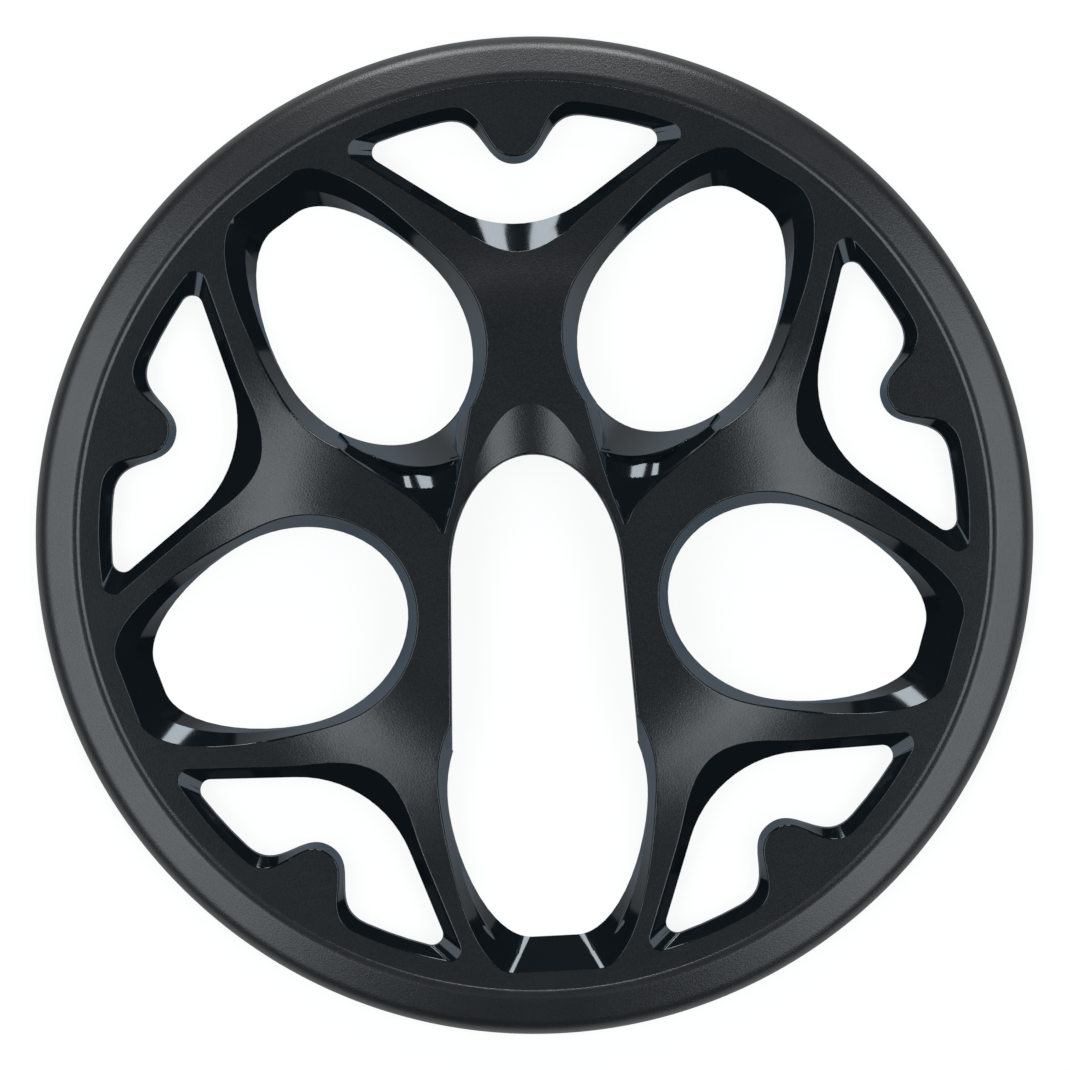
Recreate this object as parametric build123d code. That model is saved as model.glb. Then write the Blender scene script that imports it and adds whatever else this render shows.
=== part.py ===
from build123d import *
from math import cos, radians, sin, sqrt, tan
import os

# Bicycle chain guard, moulded in one piece. It lies on its back on the XY plane,
# with the crank axis on Z, the front up and the crank slot towards -Y.
# Lengths are in millimetres and angles in degrees.

# Disc and front profile
outer_diameter = 208.0
rim_edge_height = 1.8
rim_width = 8.0
crest_height = 0.5
crest_slope_width = 1.5
ring_width = 3.9
ring_height = 6.0
dish_foot_radius = 72.0
hub_flat_radius = 38.0
hub_height = 11.5
spoke_count = 5
first_spoke = 90.0

# Moulding walls, and the ribs across the channel behind the rim
skin = 2.2
skirt = 1.9
rim_wall = 2.4
rib_thickness = 1.5
rib_recess = 0.8
edge_round = 0.5

# Petal windows between the spokes, upright up to a foot and widening from there to the front
petal_hub_end = 29.4
petal_middle = 53.5
petal_half_width = 20.3
petal_rim_flat = 4.3
petal_corner_reach = 6.8
petal_corner_sharpening = 0.45
petal_side_reach = 11.2
petal_side_filling = 1.2
petal_foot = 3.0
petal_hub_draft = 12.7
petal_side_draft = 18.7
petal_rim_draft = 49.0
petal_flat_draft = 57.0
upper_petal_trim = 0.7
upper_petal_side_draft = 32.0
upper_petal_climb = 0.6
upper_petal_turn = 2.3
upper_petal_pivot = 70.0
slot_petal_ease = 0.6

# Forked windows at the end of each spoke, upright up to a foot too
fork_root = 59.6
fork_angle = 34.5
fork_round = 25.0
fork_sharpening = 1.35
fork_corner_round = 2.4
fork_foot = 3.75
fork_draft = 46.5

# Screw lobes that hang into the forked windows, with a boss behind each
screw_inset = 20.5
pilot_diameter = 3.3
pilot_depth = 4.4
boss_diameter = 8.6
lobe_overhang = 4.7
lobe_draft = 11.0
lobe_half_width = 15.0
lobe_side_draft = 24.0
lobe_tip_handle = 7.4
lobe_side_handle = 9.3

# Crank slot with its arched end, and the groove that clears the crank boss
slot_half_width = 17.9
slot_shoulder = 8.6
slot_arch_height = 25.4
slot_mouth_half_width = 19.4
slot_mouth = 44.0
groove_radius = 21.0
groove_tilt = 16.3
groove_reach = 27.3
groove_start = -2.0

# Valleys that run from the two upper petals down to the slot, in the petal's own axes
valley_tip = (15.2, 11.2)
valley_spoke_bend = (1.95, 20.4)
valley_spoke_reach = -9.5
valley_spoke_overlap = 2.4
valley_arm_bend = ((12.2, 23.0), (21.5, 33.0))
valley_arm_overlap = 1.7
valley_arm_drop = 3.0
valley_tip_round = 0.8
valley_spoke_slope_width = 2.6
valley_arm_slope_width = 1.8
valley_floor_tip = (11.5, 16.8)
valley_floor_round = 4.0
valley_floor_height = 7.4
valley_lip_end = 22.3
valley_lip_inset = 0.3

# How far the cutters run past the front and the back
front_overshoot = 0.3
back_overshoot = 3.0

# Sizes that follow from the ones above
outer_radius = outer_diameter / 2
crest_radius = outer_radius - rim_width
ring_outer_radius = crest_radius - crest_slope_width
ring_inner_radius = ring_outer_radius - ring_width
screw_radius = outer_radius - screw_inset
spoke_pitch = 360 / spoke_count
first_petal = first_spoke - spoke_pitch / 2
slot_angle = first_spoke + 180.0
valley_spoke_end = (valley_spoke_reach, petal_hub_end + valley_spoke_overlap)
valley_arm_end = (petal_half_width + valley_arm_overlap, petal_middle - valley_arm_drop)
over_top = hub_height + front_overshoot
below_back = -back_overshoot


def turned(shape, angle):
    # A shape drawn with its own axis on +Y, turned so that the axis points at the angle
    return Rot(0, 0, angle - 90) * shape


def dish(inset_radius, inset_height, base):
    # Solid of revolution under the front profile, drawn in by the insets
    rim = (outer_radius - inset_radius, rim_edge_height - inset_height)
    crest = (crest_radius, ring_height + crest_height - inset_height)
    ring_edge = (ring_outer_radius, ring_height - inset_height)
    foot = (dish_foot_radius, ring_height - inset_height)
    hub_edge = (hub_flat_radius, hub_height - inset_height)
    middle = ((foot[0] + hub_edge[0]) / 2, (foot[1] + hub_edge[1]) / 2)
    profile = [
        Line((0, base), (rim[0], base)),
        Line((rim[0], base), rim),
        TangentArc(crest, rim, tangent=(1, 0)),
        Line(crest, ring_edge),
        Line(ring_edge, foot),
        TangentArc(foot, middle, tangent=(-1, 0)),
        TangentArc(hub_edge, middle, tangent=(1, 0)),
        Line(hub_edge, (0, hub_edge[1])),
        Line((0, hub_edge[1]), (0, base)),
    ]
    return revolve(Plane.XZ * make_face(profile), Axis.Z)


def petal_outline(level, half_width, side_draft, climb, grow):
    # Egg-shaped window section, wide towards the hub, with its axis on +Y
    rise = max(level - petal_foot, 0)
    middle = petal_middle + rise * climb
    half = half_width + rise * tan(radians(side_draft)) + grow
    hub_end = petal_hub_end - rise * tan(radians(petal_hub_draft)) - grow
    rim_grow = grow / cos(radians(petal_rim_draft))
    rim_end = ring_inner_radius + (level - ring_height) * tan(radians(petal_rim_draft)) + rim_grow
    flat = petal_rim_flat + rise * tan(radians(petal_flat_draft)) + grow / 2
    corner_reach = petal_corner_reach - rise * petal_corner_sharpening
    side_reach = petal_side_reach + rise * petal_side_filling
    side = Bezier(
        (half, middle),
        (half, middle + side_reach),
        (flat + corner_reach, rim_end),
        (flat, rim_end),
    )
    outline = [
        EllipticalCenterArc((0, middle), half, middle - hub_end, 180, arc_size=180),
        side,
        Line((flat, rim_end), (-flat, rim_end)),
        mirror(side, Plane.YZ),
    ]
    return Pos(0, 0, level) * make_face(outline)


def fork_outline(level, grow):
    # Triangular window section with the screw lobe hanging from its upper edge
    slope = radians(fork_angle)
    rise = max(level - fork_foot, 0)
    widen = rise * tan(radians(fork_draft)) + grow
    root = fork_root - widen / cos(slope)
    upper = ring_inner_radius + (fork_foot - ring_height) * tan(radians(fork_draft)) + widen
    bottom_round = fork_round - rise * fork_sharpening
    bottom_centre = root + bottom_round / cos(slope)
    edge_start = (bottom_round * sin(slope), bottom_centre - bottom_round * cos(slope))

    # Centre of the corner arc, at one radius from the lower edge and from the upper arc
    lift = root + fork_corner_round / cos(slope)
    reach = upper - fork_corner_round
    corner_x = (sqrt(reach**2 - (lift * cos(slope)) ** 2) - lift * sin(slope)) * cos(slope)
    corner_y = lift + corner_x * tan(slope)
    corner_start = (
        corner_x + fork_corner_round * sin(slope),
        corner_y - fork_corner_round * cos(slope),
    )
    corner_end = (corner_x * upper / reach, corner_y * upper / reach)

    lobe_half = lobe_half_width - rise * tan(radians(lobe_side_draft))
    lobe_root = (lobe_half, sqrt(upper**2 - lobe_half**2))
    lobe_tip = screw_radius - lobe_overhang + (level - ring_height) * tan(radians(lobe_draft)) + grow
    side_handle = lobe_side_handle / upper
    half = [
        Line(edge_start, corner_start),
        TangentArc(corner_start, corner_end, tangent=(cos(slope), sin(slope))),
        TangentArc(corner_end, lobe_root, tangent=(-corner_end[1], corner_end[0])),
        Bezier(
            lobe_root,
            (lobe_root[0] - lobe_root[1] * side_handle, lobe_root[1] + lobe_root[0] * side_handle),
            (lobe_tip_handle - grow, lobe_tip),
            (0, lobe_tip),
        ),
    ]
    bottom = ThreePointArc(
        (-edge_start[0], edge_start[1]),
        (0, bottom_centre - bottom_round),
        edge_start,
    )
    outline = [bottom] + half + [mirror(edge, Plane.YZ) for edge in half]
    return Pos(0, 0, level) * make_face(outline)


def petal(angle, grow=0.0):
    # Petal cutter at its place round the disc. The two upper petals lean away from the
    # broad upper spoke, and the petal that ends the crank slot is a little wider.
    half_width = petal_half_width
    side_draft = petal_side_draft
    climb = 0.0
    lean = 0.0
    if abs(angle - first_spoke) < spoke_pitch:
        half_width -= upper_petal_trim
        side_draft = upper_petal_side_draft
        climb = upper_petal_climb
        lean = upper_petal_turn if angle < first_spoke else -upper_petal_turn
    elif abs(angle - slot_angle) < spoke_pitch / 2:
        half_width += slot_petal_ease
    levels = (below_back, petal_foot, over_top)
    sections = [petal_outline(level, half_width, side_draft, climb, grow) for level in levels]
    window = loft(sections, ruled=True)
    pivot = Pos(0, upper_petal_pivot, 0)
    return turned(pivot * Rot(0, 0, lean) * pivot.inverse() * window, angle)


def fork(angle, grow=0.0):
    # Forked cutter at its place round the disc
    levels = (below_back, fork_foot, hub_height)
    return turned(loft([fork_outline(level, grow) for level in levels], ruled=True), angle)


def slot(grow=0.0):
    # Crank slot: an arch above the crank axis and two sides that open downwards
    half = slot_half_width + grow
    mouth = slot_mouth_half_width + grow
    outline = [
        EllipticalCenterArc((0, -slot_shoulder), half, slot_arch_height + grow, 0, arc_size=180),
        Line((-half, -slot_shoulder), (-mouth, -slot_mouth)),
        Line((-mouth, -slot_mouth), (mouth, -slot_mouth)),
        Line((mouth, -slot_mouth), (half, -slot_shoulder)),
    ]
    return extrude(Pos(0, 0, below_back) * make_face(outline), over_top - below_back)


def groove(grow=0.0):
    # Tilted round groove that runs out in the front above the arch
    tilt = radians(groove_tilt)
    along = Vector(0, cos(tilt), sin(tilt))
    upward = Vector(0, -sin(tilt), cos(tilt))
    run_out = Vector(0, groove_reach, hub_height)
    start = Vector(0, groove_start - grow, hub_height)
    length = (run_out - start).dot(along) + groove_radius
    origin = run_out + upward * groove_radius - along * (length - groove_radius)
    round_bar = Cylinder(groove_radius + grow, length, align=(Align.CENTER, Align.CENTER, Align.MIN))
    return Plane(origin, x_dir=(1, 0, 0), z_dir=along) * round_bar


def valley_outline(tip, tip_round, spoke_out, arm_out):
    # Wedge between the upper spoke and its neighbour, open to the petal, with a rounded
    # tip and with the side along the spoke and the side along the arm moved outwards
    spoke_line = (Vector(valley_tip) - Vector(valley_spoke_end)).normalized()
    spoke_step = spoke_line.rotate(Axis.Z, -90) * spoke_out
    spoke_bend = Vector(valley_spoke_bend) + spoke_step
    spoke_end = Vector(valley_spoke_end) + spoke_step
    arm_step = Vector(arm_out, 0)
    arm_bend = [Vector(point) + arm_step for point in valley_arm_bend]
    arm_end = Vector(valley_arm_end) + arm_step
    corner = Vector(tip)
    spoke_turn = corner + (spoke_bend - corner).normalized() * tip_round
    arm_turn = corner + (arm_bend[0] - corner).normalized() * tip_round
    return make_face(
        [
            Bezier(spoke_end, spoke_bend, spoke_turn),
            Bezier(spoke_turn, corner, arm_turn),
            Bezier(arm_turn, *arm_bend, arm_end),
            Line(arm_end, spoke_end),
        ]
    )


def valley():
    # Wedge with sloping sides, and the lip that rolls over into the petal window
    front = valley_outline(valley_tip, valley_tip_round, 0, 0)
    floor = valley_outline(
        valley_floor_tip, valley_floor_round, -valley_spoke_slope_width, -valley_arm_slope_width
    )
    wedge = loft([Pos(0, 0, valley_floor_height) * floor, Pos(0, 0, over_top) * front], ruled=True)
    lip_back = Ellipse(
        petal_half_width - valley_lip_inset, petal_middle - petal_hub_end - valley_lip_inset
    )
    lip_front = Ellipse(petal_half_width, petal_middle - valley_lip_end)
    lip = loft(
        [Pos(0, petal_middle, 0) * lip_back, Pos(0, petal_middle, valley_floor_height) * lip_front],
        ruled=True,
    )
    return wedge + (lip & extrude(floor, valley_floor_height))


def beside_spoke(shape):
    # A shape in the petal's own axes, put on both sides of the upper spoke
    right = turned(shape, 90 - spoke_pitch / 2)
    return turned(right + mirror(right, Plane.YZ), first_spoke)


def on_front(face):
    # The hub, the dished spokes, the flat ring and the groove, but no wall of a window
    level = face.center().Z
    if face.geom_type == GeomType.PLANE:
        return any(abs(level - flat) < front_overshoot for flat in (hub_height, ring_height))
    if face.geom_type == GeomType.CYLINDER:
        return level > ring_height
    return face.geom_type in (GeomType.TORUS, GeomType.REVOLUTION)


# Solid disc with its windows, crank slot, groove and valleys
guard = dish(0, 0, 0)
for number in range(spoke_count):
    guard -= petal(first_petal + number * spoke_pitch)
    guard -= fork(first_spoke + number * spoke_pitch)
guard -= turned(slot(), first_spoke)
guard -= turned(groove(), first_spoke)
guard -= beside_spoke(valley())

# Every edge where the front drops into an opening is rounded
outlines = [edge for face in guard.faces() if on_front(face) for edge in face.edges()]
front_edges = [
    edge for edge in outlines if outlines.count(edge) == 1 and edge.geom_type != GeomType.CIRCLE
]
guard = fillet(front_edges, edge_round)

# Hollow back: the space under the skin, less the skirts, bosses and ribs left standing
hollow = dish(rim_wall, skin, below_back)
for number in range(spoke_count):
    petal_angle = first_petal + number * spoke_pitch
    spoke_angle = first_spoke + number * spoke_pitch
    hollow -= petal(petal_angle, skirt)
    hollow -= fork(spoke_angle, skirt)
    hollow -= turned(Pos(0, screw_radius, 0) * Cylinder(boss_diameter / 2, 2 * over_top), spoke_angle)
    rib = Pos(0, ring_outer_radius, rib_recess) * Box(
        rib_thickness, 2 * screw_inset, over_top, align=(Align.CENTER, Align.CENTER, Align.MIN)
    )
    hollow -= turned(rib, petal_angle)
    hollow -= turned(rib, spoke_angle)
valley_wall_tip = Vector(valley_tip) + Vector(skirt, -2 * skirt)
valley_wall = extrude(valley_outline(valley_wall_tip, valley_tip_round, skirt, skirt), over_top)
hollow -= turned(slot(skirt), first_spoke)
hollow -= turned(groove(skin), first_spoke)
hollow -= beside_spoke(valley_wall)
guard -= hollow

# Blind pilot holes for the chainring screws
for number in range(spoke_count):
    pilot = Pos(0, screw_radius, below_back) * Cylinder(
        pilot_diameter / 2, pilot_depth - below_back, align=(Align.CENTER, Align.CENTER, Align.MIN)
    )
    guard -= turned(pilot, first_spoke + number * spoke_pitch)

os.makedirs("parts", exist_ok=True)
export_step(guard, "parts/chain_guard.step")
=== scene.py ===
import bpy
import math
from mathutils import Matrix, Vector


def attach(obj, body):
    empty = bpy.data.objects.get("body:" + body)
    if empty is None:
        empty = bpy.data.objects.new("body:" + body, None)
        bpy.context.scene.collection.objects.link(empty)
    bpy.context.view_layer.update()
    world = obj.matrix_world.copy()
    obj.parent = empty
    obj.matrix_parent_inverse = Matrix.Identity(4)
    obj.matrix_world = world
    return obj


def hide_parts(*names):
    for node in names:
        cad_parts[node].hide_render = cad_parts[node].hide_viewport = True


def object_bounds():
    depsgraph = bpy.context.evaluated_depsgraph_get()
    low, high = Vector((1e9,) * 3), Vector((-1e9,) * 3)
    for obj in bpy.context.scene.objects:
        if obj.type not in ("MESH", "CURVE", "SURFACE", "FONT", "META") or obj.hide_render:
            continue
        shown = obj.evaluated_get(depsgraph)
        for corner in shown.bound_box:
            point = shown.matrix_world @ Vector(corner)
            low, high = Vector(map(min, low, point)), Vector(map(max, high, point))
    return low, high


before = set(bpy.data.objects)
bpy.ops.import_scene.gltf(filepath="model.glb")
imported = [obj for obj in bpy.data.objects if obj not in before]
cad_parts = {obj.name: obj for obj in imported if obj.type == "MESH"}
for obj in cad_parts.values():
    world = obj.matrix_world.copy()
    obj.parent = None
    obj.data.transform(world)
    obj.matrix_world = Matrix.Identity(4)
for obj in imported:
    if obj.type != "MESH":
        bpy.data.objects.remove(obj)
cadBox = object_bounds()
print("frame loaded")


class Wire:  # one output socket, so that masks can be written as sums
    def __init__(self, shader, socket):
        self.shader = shader
        self.socket = socket

    def maths(self, operation, first, second):
        return self.shader.add("ShaderNodeMath", {"operation": operation}, {0: first, 1: second})

    def __add__(self, other):
        return self.maths("ADD", self, other)

    def __radd__(self, other):
        return self.maths("ADD", other, self)

    def __sub__(self, other):
        return self.maths("SUBTRACT", self, other)

    def __rsub__(self, other):
        return self.maths("SUBTRACT", other, self)

    def __mul__(self, other):
        return self.maths("MULTIPLY", self, other)

    def __rmul__(self, other):
        return self.maths("MULTIPLY", other, self)


class Shader:  # a material or world and its nodes
    def __init__(self, owner):
        owner.use_nodes = True
        self.tree = owner.node_tree
        self.tree.nodes.clear()

    def add(self, kind, settings=None, inputs=None, output=0):
        node = self.tree.nodes.new(kind)
        for key, value in (settings or {}).items():
            setattr(node, key, value)
        for key, value in (inputs or {}).items():
            if isinstance(value, Wire):
                self.tree.links.new(value.socket, node.inputs[key])
            else:
                node.inputs[key].default_value = value
        return Wire(self, node.outputs[output]) if len(node.outputs) else None


def grey(level, blue=0.0):
    return (level * (1 - blue), level, level * (1 + blue), 1.0)


def blend(first, second, share):
    return first + (second - first) * share


def clamp(share):
    return min(max(share, 0), 1)


def bezierPoint(points, share):
    while len(points) > 1:
        points = [first.lerp(second, share) for first, second in zip(points, points[1:])]
    return points[0]


def deselectAll():
    for item in bpy.context.selected_objects:
        item.select_set(False)


def mergePoints(distance):
    bpy.ops.object.mode_set(mode="EDIT")
    bpy.ops.mesh.select_all(action="SELECT")
    bpy.ops.mesh.remove_doubles(threshold=distance)
    bpy.ops.object.mode_set(mode="OBJECT")


# Camera: straight above, turned as the guard is turned in the photo
cameraSettings = {
    "height": 1.103,
    "lens": 177.7,
    "sensorWidth": 36.0,
    "offset": (0.00011, 0.00003),
    "turn": -2.93,
}


def makeCamera(settings):
    bpy.ops.object.camera_add(location=(*settings["offset"], settings["height"]))
    camera = bpy.context.object
    camera.rotation_euler = (0, 0, math.radians(settings["turn"]))
    camera.data.lens = settings["lens"]
    camera.data.sensor_width = settings["sensorWidth"]
    bpy.context.scene.camera = camera
    print("camera placed")


makeCamera(cameraSettings)


def driftingRoughness(shader, place, settings):  # drifts a little from spot to spot
    cloud = shader.add(
        "ShaderNodeTexNoise",
        {},
        {"Vector": place, "Scale": 1 / settings["cloudSize"], "Detail": settings["cloudDetail"]},
    )
    return settings["roughness"] + settings["roughnessSpread"] * (cloud - settings["cloudMiddle"])


# Plastic of the front: a fine spark-eroded grain, satin
frontSettings = {
    "colour": grey(0.0),
    "speck": grey(0.016, 0.14),
    "roughness": 0.30,
    "rimRoughness": 0.34,
    "rimRadius": 0.095,
    "roughnessSpread": 0.08,
    "cloudSize": 0.014,
    "cloudDetail": 3.0,
    "cloudMiddle": 0.5,
    "grainSize": 0.00038,
    "grainDetail": 2.0,
    "grainDepth": 0.000032,
    "grainStrength": 1.0,
}


def makeFrontPlastic(settings):
    material = bpy.data.materials.new("satinBlackPlastic")
    shader = Shader(material)
    place = shader.add("ShaderNodeTexCoord", output="Object")
    grain = shader.add(
        "ShaderNodeTexNoise",
        {},
        {"Vector": place, "Scale": 1 / settings["grainSize"], "Detail": settings["grainDetail"]},
    )
    colour = shader.add(  # 6 and 7 are the two colours of the mix, 2 is the mixed colour
        "ShaderNodeMix",
        {"data_type": "RGBA"},
        {"Factor": grain, 6: settings["colour"], 7: settings["speck"]},
        output=2,
    )
    level = shader.add(  # the place without its height
        "ShaderNodeVectorMath", {"operation": "MULTIPLY"}, {0: place, 1: (1.0, 1.0, 0.0)}
    )
    radius = shader.add("ShaderNodeVectorMath", {"operation": "LENGTH"}, {0: level}, output="Value")
    onRim = radius.maths("GREATER_THAN", radius, settings["rimRadius"])
    roughness = driftingRoughness(shader, place, settings)
    roughness = roughness + onRim * (settings["rimRoughness"] - settings["roughness"])
    bump = shader.add(
        "ShaderNodeBump",
        {},
        {
            "Strength": settings["grainStrength"],
            "Distance": settings["grainDepth"],
            "Height": grain,
        },
    )
    plastic = shader.add(
        "ShaderNodeBsdfPrincipled",
        {},
        {"Base Color": colour, "Roughness": roughness, "Normal": bump},
    )
    shader.add("ShaderNodeOutputMaterial", {}, {"Surface": plastic})
    return material


# Plastic of the window walls and valleys: polished in the mould, with painted shade where a wall is
# seen at a shallow angle
wallSettings = {
    "colour": grey(0.005, 0.30),
    "specular": 0.28,
    "tint": (0.80, 0.92, 1.0, 1.0),
    "roughness": 0.09,
    "roughnessSpread": 0.06,
    "cloudSize": 0.02,
    "cloudDetail": 3.0,
    "cloudMiddle": 0.5,
    # painted shade: this dark bluish matte colour stands in for the wall's reflection where the
    # wall is seen at a shallow angle
    "paintedShadeColour": grey(0.05, 0.36),  # where the wall is seen at a shallow angle
    "paintedShadeRoughness": 0.5,
    "facingBlend": 0.5,
    "paintedShadeFrom": 0.42,
    "paintedShadeFull": 0.74,
    "paintedShadeShare": 0.9,
}


def makeWallPlastic(settings):
    material = bpy.data.materials.new("polishedBlackPlastic")
    shader = Shader(material)
    place = shader.add("ShaderNodeTexCoord", output="Object")
    plastic = shader.add(
        "ShaderNodeBsdfPrincipled",
        {},
        {
            "Base Color": settings["colour"],
            "Roughness": driftingRoughness(shader, place, settings),
            "Specular IOR Level": settings["specular"],
            "Specular Tint": settings["tint"],
        },
    )
    # painted shade: a dark matte colour mixed in place of the polished reflection, more where the
    # wall is seen at a shallow angle
    paintedShade = shader.add(
        "ShaderNodeBsdfPrincipled",
        {},
        {
            "Base Color": settings["paintedShadeColour"],
            "Roughness": settings["paintedShadeRoughness"],
            "Specular IOR Level": 0.0,
        },
    )
    facing = shader.add(
        "ShaderNodeLayerWeight", {}, {"Blend": settings["facingBlend"]}, output="Facing"
    )
    past = (facing - settings["paintedShadeFrom"]) * (1 / (settings["paintedShadeFull"] - settings["paintedShadeFrom"]))
    past = past.maths("MAXIMUM", past, 0.0)
    share = settings["paintedShadeShare"] * past.maths("MINIMUM", past, 1.0)
    mixed = shader.add("ShaderNodeMixShader", {}, {0: share, 1: plastic, 2: paintedShade})
    shader.add("ShaderNodeOutputMaterial", {}, {"Surface": mixed})
    return material


# The front as it was before the windows were cut: flat hub, dished spokes, flat ring and rim
dishSettings = {
    "hubRadius": 0.038,
    "hubHeight": 0.0115,
    "footRadius": 0.072,
    "ringHeight": 0.006,
    "ringOuterRadius": 0.0945,
    "grooveRadius": 0.021,
    "grooveTilt": 16.3,
    "grooveReach": 0.0273,
    "tolerance": 0.00004,
    "floorUp": 0.99,  # a valley floor points up at least this much
    "sharpRadii": (0.0945, 0.096),  # crest of the rim
    "sharpHeights": (0.003, 0.00375),  # foot of the petal walls and of the fork walls
    "softZone": ((0.008, 0.012, 0.0045), (0.024, 0.034, 0.0112)),  # valley lips roll into the neck
}


def dishHeight(radius, dish):
    halfRun = (dish["footRadius"] - dish["hubRadius"]) / 2
    halfRise = (dish["hubHeight"] - dish["ringHeight"]) / 2
    bend = (halfRun**2 + halfRise**2) / (2 * halfRise)
    if radius < dish["hubRadius"]:
        return dish["hubHeight"]
    if radius < dish["hubRadius"] + halfRun:
        return dish["hubHeight"] - bend + math.sqrt(bend**2 - (radius - dish["hubRadius"]) ** 2)
    if radius < dish["footRadius"]:
        return dish["ringHeight"] + bend - math.sqrt(bend**2 - (dish["footRadius"] - radius) ** 2)
    return dish["ringHeight"]


def grooveDepth(corner, dish):
    tilt = math.radians(dish["grooveTilt"])
    along = corner.y - dish["grooveReach"]
    above = corner.z - dish["hubHeight"]
    lift = dish["grooveRadius"] - (above * math.cos(tilt) - along * math.sin(tilt))
    return math.hypot(corner.x, lift) - dish["grooveRadius"]


def liesOnCrease(ends, dish):
    def together(places, crease):
        return all(abs(place - crease) < dish["tolerance"] for place in places)

    radii = [end.xy.length for end in ends]
    heights = [end.z for end in ends]
    return any(together(radii, crease) for crease in dish["sharpRadii"]) or any(
        together(heights, crease) for crease in dish["sharpHeights"]
    )


def liesInSoftZone(ends, dish):
    lowest, highest = dish["softZone"]

    def inside(end):
        spot = (abs(end.x), end.y, end.z)
        return all(low < part < high for low, part, high in zip(lowest, spot, highest))

    return all(inside(end) for end in ends)


def faceKind(corners, normal, dish):
    if normal.z <= 0:
        return "wall"
    near = dish["tolerance"]
    if all(corner.xy.length > dish["ringOuterRadius"] - near for corner in corners):
        return "front"
    if all(abs(corner.z - dishHeight(corner.xy.length, dish)) < near for corner in corners):
        return "front"
    if all(abs(grooveDepth(corner, dish)) < near for corner in corners):
        return "groove"
    return "floor" if normal.z > dish["floorUp"] else "wall"


# Corners at the rim end of the petal windows: rounder than in the mould. Each list gives a value
# at the back, at the foot of the walls and at the front of the ring.
petalSettings = {
    "heights": (0.0, 0.003, 0.006),
    "rimEnds": (0.083698, 0.087149, 0.0906),
    "sideReaches": (0.0112, 0.0112, 0.0148),
    # half of the straight end, and pull of the curve beside it
    "mould": ((0.0043, 0.0068), (0.0043, 0.0068), (0.00892, 0.00545)),
    "pivot": 0.07,
    "samples": 300,
    "heightDigits": 5,
    "edgeRound": 0.001,  # points this near to the moulded line move with it
}
petalKinds = {
    "slot": {
        "halves": (0.0209, 0.0209, 0.021915),
        "middles": (0.0535, 0.0535, 0.0535),
        "eased": ((0.0046, 0.0094), (0.00665, 0.0089), (0.0087, 0.0084)),
        "turns": ((180.0, 0.0),),
    },
    "side": {
        "halves": (0.0203, 0.0203, 0.021315),
        "middles": (0.0535, 0.0535, 0.0535),
        "eased": ((0.0028, 0.0095), (0.0036, 0.0096), (0.0062, 0.0098)),
        "turns": ((108.0, 0.0), (-108.0, 0.0)),
    },
    "upper": {
        "halves": (0.0196, 0.0196, 0.021475),
        "middles": (0.0535, 0.0535, 0.0553),
        "eased": ((0.0028, 0.0095), (0.0036, 0.0096), (0.0062, 0.0098)),
        "turns": ((36.0, -2.3), (-36.0, 2.3)),
    },
}


def petalLine(height, kind, ends, settings):
    heights = settings["heights"]
    low = 0 if height < heights[1] else 1
    share = (height - heights[low]) / (heights[low + 1] - heights[low])

    def atHeight(values):
        return blend(values[low], values[low + 1], share)

    half = atHeight(kind["halves"])
    middle = atHeight(kind["middles"])
    side = middle + atHeight(settings["sideReaches"])
    rimEnd = atHeight(settings["rimEnds"])
    flat, reach = atHeight([Vector(end) for end in ends])
    spots = ((half, middle), (half, side), (flat + reach, rimEnd), (flat, rimEnd))
    points = [Vector(spot) for spot in spots]
    samples = settings["samples"]
    return [bezierPoint(points, step / samples) for step in range(samples + 1)]


def easePetal(guard, turn, lean, kind, settings):
    pivot = Vector((0, settings["pivot"]))
    outward = Matrix.Rotation(math.radians(turn), 2)
    leaning = Matrix.Rotation(math.radians(lean), 2)
    shapes = (settings["mould"], kind["eased"])
    widest = kind["halves"][-1] + settings["edgeRound"]
    lines = {}
    for point in guard.data.vertices:
        place = leaning.transposed() @ (outward.transposed() @ point.co.xy - pivot) + pivot
        if place.y < kind["middles"][0] or abs(place.x) > widest:
            continue
        height = round(point.co.z, settings["heightDigits"])
        if height not in lines:
            lines[height] = [petalLine(height, kind, ends, settings) for ends in shapes]
        mouldLine, easedLine = lines[height]
        side = math.copysign(1.0, place.x)
        folded = Vector((abs(place.x), place.y))
        gap, step = min(((spot - folded).length, step) for step, spot in enumerate(mouldLine))
        if gap < settings["edgeRound"]:
            move = easedLine[step] - mouldLine[step]
            place = place + Vector((side * move.x, move.y))
            point.co.xy = outward @ (leaning @ (place - pivot) + pivot)


def easePetalCorners(guard, settings, kinds):
    for kind in kinds.values():
        for turn, lean in kind["turns"]:
            easePetal(guard, turn, lean, kind, settings)


# Face of the rim: a narrow step up from the flat ring, then an even slope and a rounded outer edge
rimSettings = {
    "step": (
        (0.0944, 0.00588),
        (0.09452, 0.00599),
        (0.0951, 0.00627),
        (0.0953, 0.00631),
        (0.0959, 0.00631),
    ),
    "bandStart": (0.0962, 0.00626),
    "bandEnd": 0.1010,
    "bandSlope": 20.0,
    "edge": (0.104, 0.0018),
    "rows": {"band": 10, "edge": 18},
    "segments": 480,
    "mergeDistance": 0.000002,
    "thickness": 0.0002,
    "smoothAngle": 50.0,
    "sunk": 0.0012,  # the moulded band goes down this far, under its new face
    "sunkRadii": (0.09595, 0.1038),
}


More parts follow.
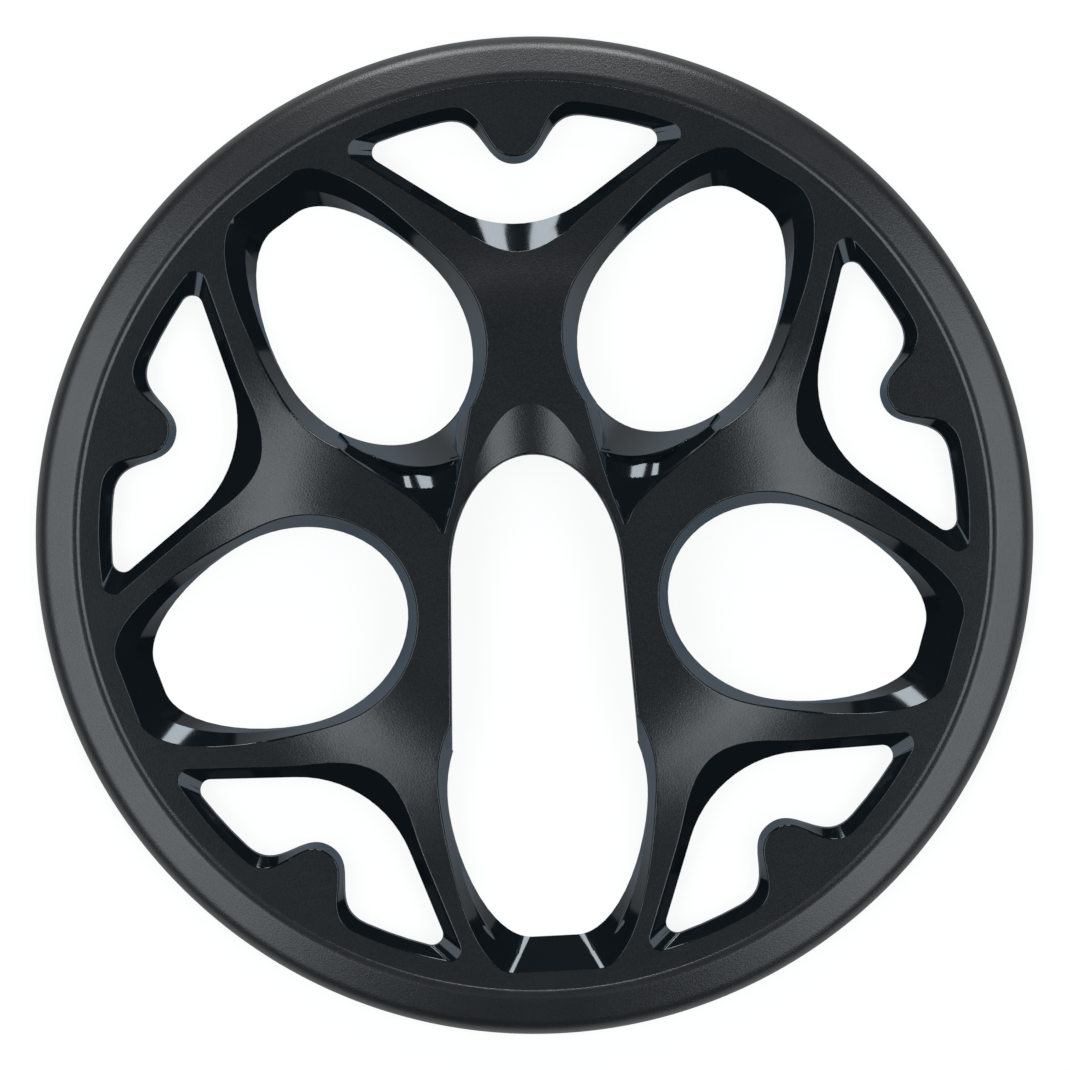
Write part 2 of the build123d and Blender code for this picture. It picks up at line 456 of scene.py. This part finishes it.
def rimProfile(settings):
    slope = math.radians(settings["bandSlope"])
    startRadius, startHeight = settings["bandStart"]
    endRadius = settings["bandEnd"]
    endHeight = startHeight - (endRadius - startRadius) * math.tan(slope)
    across = Vector(settings["edge"]) - Vector((endRadius, endHeight))
    turn = 2 * (math.atan2(-across.y, across.x) - slope)
    bend = across.length / (2 * math.sin(turn / 2))
    rows = settings["rows"]
    points = [Vector(point) for point in settings["step"]]
    for step in range(rows["band"]):
        radius = blend(startRadius, endRadius, step / rows["band"])
        points.append(Vector((radius, startHeight - (radius - startRadius) * math.tan(slope))))
    for step in range(rows["edge"] + 1):
        angle = slope + turn * step / rows["edge"]
        radius = endRadius + bend * (math.sin(angle) - math.sin(slope))
        points.append(Vector((radius, endHeight - bend * (math.cos(slope) - math.cos(angle)))))
    return points


def sinkBand(guard, settings):
    inner, outer = settings["sunkRadii"]
    lowest = settings["edge"][1]

    def onBand(point):
        return inner < point.co.xy.length < outer and point.co.z > lowest and point.normal.z > 0

    # all are picked before the first moves, as normals are worked out afresh after each move
    for point in [point for point in guard.data.vertices if onBand(point)]:
        point.co.z -= settings["sunk"]


# The guard's skin: a merged copy of the moulded solid, smooth where the mould is smooth
guardSettings = {
    "node": "chain_guard",
    "mergeDistance": 0.000002,
    "smoothAngle": 26.0,
}


def makeGuard(settings):
    deselectAll()
    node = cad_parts[settings["node"]]
    node.select_set(True)
    bpy.context.view_layer.objects.active = node
    bpy.ops.object.duplicate()
    guard = bpy.context.object
    guard.name = "guardSkin"
    guard.data.name = "guardSkin"
    mergePoints(settings["mergeDistance"])
    easePetalCorners(guard, petalSettings, petalKinds)
    sinkBand(guard, rimSettings)
    bpy.ops.object.shade_smooth_by_angle(angle=math.radians(settings["smoothAngle"]))
    guard.data.materials.clear()
    guard.data.materials.append(makeFrontPlastic(frontSettings))
    guard.data.materials.append(makeWallPlastic(wallSettings))

    edgeKinds = {}
    for face in guard.data.polygons:
        corners = [guard.data.vertices[index].co for index in face.vertices]
        kind = faceKind(corners, face.normal, dishSettings)
        face.material_index = 0 if kind in ("front", "groove") else 1  # satin or polished
        for key in face.edge_keys:
            edgeKinds.setdefault(key, set()).add(kind)
    for edge in guard.data.edges:
        ends = [guard.data.vertices[index].co for index in edge.vertices]
        kinds = edgeKinds.get(edge.key)
        if kinds == {"front", "groove"} or liesOnCrease(ends, dishSettings):
            edge.use_edge_sharp = True
        elif kinds == {"wall"} and liesInSoftZone(ends, dishSettings):
            edge.use_edge_sharp = False
    bpy.ops.object.modifier_add(type="WEIGHTED_NORMAL")
    evenShade = guard.modifiers[-1]
    evenShade.keep_sharp = True  # broad faces stay true, the small roundings take the turn
    bpy.ops.object.modifier_apply(modifier=evenShade.name)
    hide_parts(settings["node"])
    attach(guard, "root")
    print("guard skin made,", len(guard.data.polygons), "faces")


makeGuard(guardSettings)


# A thin closed sheet through columns of points, for the pieces that lie on the skin
def makeSheet(name, columns, settings, material):
    deselectAll()
    last = (len(columns) - 1, len(columns[0]) - 1)
    bpy.ops.mesh.primitive_grid_add(x_subdivisions=last[0], y_subdivisions=last[1], size=2)
    sheet = bpy.context.object
    sheet.name = name
    sheet.data.name = name
    for point in sheet.data.vertices:  # the grid runs from -1 to 1
        column, row = (round((part + 1) / 2 * count) for part, count in zip(point.co, last))
        point.co = columns[column][row]
    mergePoints(settings["mergeDistance"])
    if sum(face.normal.z for face in sheet.data.polygons) < 0:
        bpy.ops.object.mode_set(mode="EDIT")
        bpy.ops.mesh.select_all(action="SELECT")
        bpy.ops.mesh.flip_normals()
        bpy.ops.object.mode_set(mode="OBJECT")
    bpy.ops.object.modifier_add(type="SOLIDIFY")
    body = sheet.modifiers[-1]
    body.thickness = settings["thickness"]
    body.offset = -1.0
    bpy.ops.object.modifier_apply(modifier=body.name)
    bpy.ops.object.shade_smooth_by_angle(angle=math.radians(settings["smoothAngle"]))
    sheet.data.materials.append(bpy.data.materials[material])
    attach(sheet, "root")
    print(name, "made,", len(sheet.data.polygons), "faces")


def makeRim(settings):
    profile = rimProfile(settings)
    columns = []
    for step in range(settings["segments"] + 1):
        angle = 2 * math.pi * step / settings["segments"]
        across, up = math.cos(angle), math.sin(angle)
        columns.append([(point.x * across, point.x * up, point.y) for point in profile])
    makeSheet("rimFace", columns, settings, "satinBlackPlastic")


makeRim(rimSettings)


# Bowl and lip of each valley beside the upper spoke: the lip rolls from the neck into the petal,
# and the bowl behind it is steep at its edges and rises to its tip
valleySettings = {
    "petalTurn": 36.0,  # the petal leans this far from the upper spoke
    "petalMiddle": 0.0535,
    "windowHalf": (0.0204, 0.0243),  # half width and half length of the petal's hub end
    "lipHalf": (0.0202, 0.0312),
    # round the petal: at the arm, facing the tip, at the spoke, where lip meets edge, at the neck
    "lipAngles": {"arm": 62.0, "tip": 21.5, "spoke": 10.5, "merged": 4.0, "neck": -13.0},
    "lipHeight": 0.0074,
    "lipSlope": 0.97,
    "lipLift": 0.0001,  # keeps the foot of the lip clear of the wall
    "ridgeRise": 0.0022,
    "ridgeTaper": 20.0,
    "ridgeSteepness": 1.6,
    "tip": (-0.0152, 0.0112),
    "armBends": ((-0.0122, 0.023), (-0.0215, 0.033), (-0.022, 0.0505)),
    "armShare": 0.74,
    "spokeBends": ((-0.00195, 0.0204), (0.0095, 0.0318)),
    "spokeShares": (0.5, 0.79),
    "edgeDrop": 0.00025,
    "armSteepness": 0.9,
    "spokeSteepness": 1.6,
    "rampLength": 0.0053,
    "rampSlopes": (0.67, 0.02),
    "rampLean": 0.155,  # the ramp rises this much towards the spoke
    "rampMiddle": -0.0105,
    "softness": 0.00035,
    "thickness": 0.0008,
    "mergeDistance": 0.000002,
    "smoothAngle": 50.0,
    "steps": {"arm": 28, "spoke": 12, "neck": 16, "bowl": 18, "lip": 8},
}


def ellipsePoint(half, angle, middle):
    turn = math.radians(angle)
    return Vector((-half[0] * math.sin(turn), middle - half[1] * math.cos(turn)))


def valleyColumns(settings):
    tip = Vector(settings["tip"])
    armLine = [tip] + [Vector(bend) for bend in settings["armBends"]]
    spokeLine = [tip] + [Vector(bend) for bend in settings["spokeBends"]]
    bowlShare, neckShare = settings["spokeShares"]
    angles = settings["lipAngles"]
    runs = (
        ("arm", armLine, (settings["armShare"], 0.0), ("arm", "tip")),
        ("spoke", spokeLine, (0.0, bowlShare), ("tip", "spoke")),
        ("neck", spokeLine, (bowlShare, neckShare), ("spoke", "neck")),
    )
    columns = []  # point on the front edge, angle round the petal
    for name, line, shares, ends in runs:
        count = settings["steps"][name]
        for step in range(count):
            edge = bezierPoint(line, blend(*shares, step / count))
            columns.append((edge, blend(angles[ends[0]], angles[ends[1]], step / count)))
    columns.append((bezierPoint(spokeLine, neckShare), angles["neck"]))
    return columns


def makeValley(name, side, settings, dish):
    columns = valleyColumns(settings)
    steps = settings["steps"]
    angles = settings["lipAngles"]
    edges = [column[0] for column in columns]
    armEdge = edges[: steps["arm"] + 1]
    spokeEdge = edges[steps["arm"] :]

    def edgeLevel(place):
        return dishHeight(place.length, dish) - settings["edgeDrop"]

    def fallFrom(line, steepness, place):
        near = min(line, key=lambda point: (point - place).length)
        return edgeLevel(near) - steepness * (near - place).length

    def bowlLevel(place, ridge, fromLip):
        steep, flat = settings["rampSlopes"]
        onSteep = min(fromLip, settings["rampLength"])
        lean = settings["rampLean"] * (place.x - settings["rampMiddle"])
        levels = (
            fallFrom(armEdge, settings["armSteepness"], place),
            fallFrom(spokeEdge, settings["spokeSteepness"], place),
            settings["lipHeight"] + steep * onSteep + flat * (fromLip - onSteep) + lean,
            ridge - settings["ridgeSteepness"] * fromLip,
        )
        softness = settings["softness"]  # the highest level counts, with rounded meetings
        total = sum(math.exp(level / softness) for level in levels)
        return min(softness * math.log(total), edgeLevel(place))

    def profile(edge, angle):  # points from the front edge over the ridge to the petal window
        merged = clamp((angles["spoke"] - angle) / (angles["spoke"] - angles["merged"]))
        taper = clamp((angles["arm"] - angle) / settings["ridgeTaper"])
        lip = ellipsePoint(settings["lipHalf"], angle, settings["petalMiddle"])
        window = ellipsePoint(settings["windowHalf"], angle, settings["petalMiddle"])
        bottom = settings["lipHeight"] - settings["lipSlope"] * (window - lip).length
        bottom = bottom + settings["lipLift"]
        crease = lip.lerp(edge, merged)
        ridge = settings["lipHeight"] + settings["ridgeRise"] * taper
        ridge = blend(ridge, edgeLevel(edge), merged)
        points = []
        for step in range(steps["bowl"]):
            place = edge.lerp(crease, step / steps["bowl"])
            points.append((place, bowlLevel(place, ridge, (place - crease).length)))
        for step in range(steps["lip"] + 1):
            share = step / steps["lip"]
            points.append((crease.lerp(window, share), blend(ridge, bottom, share)))
        return points

    turn = Matrix.Rotation(math.radians(settings["petalTurn"]), 2)
    sheet = []
    for edge, angle in columns:
        spots = [(turn @ place, level) for place, level in profile(edge, angle)]
        sheet.append([(-side * spot.x, spot.y, level) for spot, level in spots])
    makeSheet(name, sheet, settings, "polishedBlackPlastic")


makeValley("leftValley", -1, valleySettings, dishSettings)
makeValley("rightValley", 1, valleySettings, dishSettings)


# Pale floor that looks white and keeps a light shadow
floorSettings = {
    "size": 4.0,
    "gap": 0.0002,  # keeps the floor and the back of the guard apart
    "colour": grey(0.9),
    "glow": grey(1.0),
    "glowStrength": 1.0,
    "bareRays": ("Is Camera Ray", "Is Glossy Ray", "Is Transmission Ray"),  # see the glow
    "shadowShare": 0.12,
}


def makeFloor(settings):
    deselectAll()
    height = cadBox[0][2] - settings["gap"]
    bpy.ops.mesh.primitive_plane_add(size=settings["size"], location=(0, 0, height))
    floor = bpy.context.object
    floor.name = "paleFloor"
    material = bpy.data.materials.new("paleFloor")
    shader = Shader(material)
    seen, glossy, through = (
        shader.add("ShaderNodeLightPath", output=ray) for ray in settings["bareRays"]
    )
    paint = shader.add("ShaderNodeBsdfDiffuse", {}, {"Color": settings["colour"]})
    glow = shader.add(
        "ShaderNodeEmission", {}, {"Color": settings["glow"], "Strength": settings["glowStrength"]}
    )
    share = (seen + glossy + through) * (1 - settings["shadowShare"])
    mixed = shader.add("ShaderNodeMixShader", {}, {0: share, 1: paint, 2: glow})
    shader.add("ShaderNodeOutputMaterial", {}, {"Surface": mixed})
    floor.data.materials.append(material)
    print("floor laid")


makeFloor(floorSettings)


# Soft boxes high on the left and right, and two upright strips beyond the upper spoke
softBox = {"size": (1.12, 0.46), "power": 6.7, "colour": (0.90, 0.96, 1.0)}
strip = {"size": (0.13, 0.21), "power": 1.7, "colour": (1.0, 1.0, 1.0)}
lightSettings = {
    "left": {"place": (-0.54, -0.09, 0.62), **softBox},
    "right": {"place": (0.53, -0.14, 0.62), **softBox},
    "stripLeft": {"place": (-0.12, 0.64, 0.27), **strip},
    "stripRight": {"place": (0.12, 0.64, 0.27), **strip},
}
worldSettings = {"colour": grey(0.04, 0.15), "strength": 1.0}


def makeLights(settings, world):
    for name, lamp in settings.items():
        bpy.ops.object.light_add(type="AREA", location=lamp["place"])
        light = bpy.context.object
        light.name = name + "Light"
        light.data.shape = "RECTANGLE"
        light.data.size, light.data.size_y = lamp["size"]
        light.data.energy = lamp["power"]
        light.data.color = lamp["colour"]
        light.rotation_euler = (-light.location).to_track_quat("-Z", "Y").to_euler()
    sky = bpy.data.worlds.new("dimStudio")
    shader = Shader(sky)
    glow = shader.add(
        "ShaderNodeBackground", {}, {"Color": world["colour"], "Strength": world["strength"]}
    )
    shader.add("ShaderNodeOutputWorld", {}, {"Surface": glow})
    bpy.context.scene.world = sky
    print("lights set")


makeLights(lightSettings, worldSettings)

bpy.context.scene.view_settings.view_transform = "Standard"
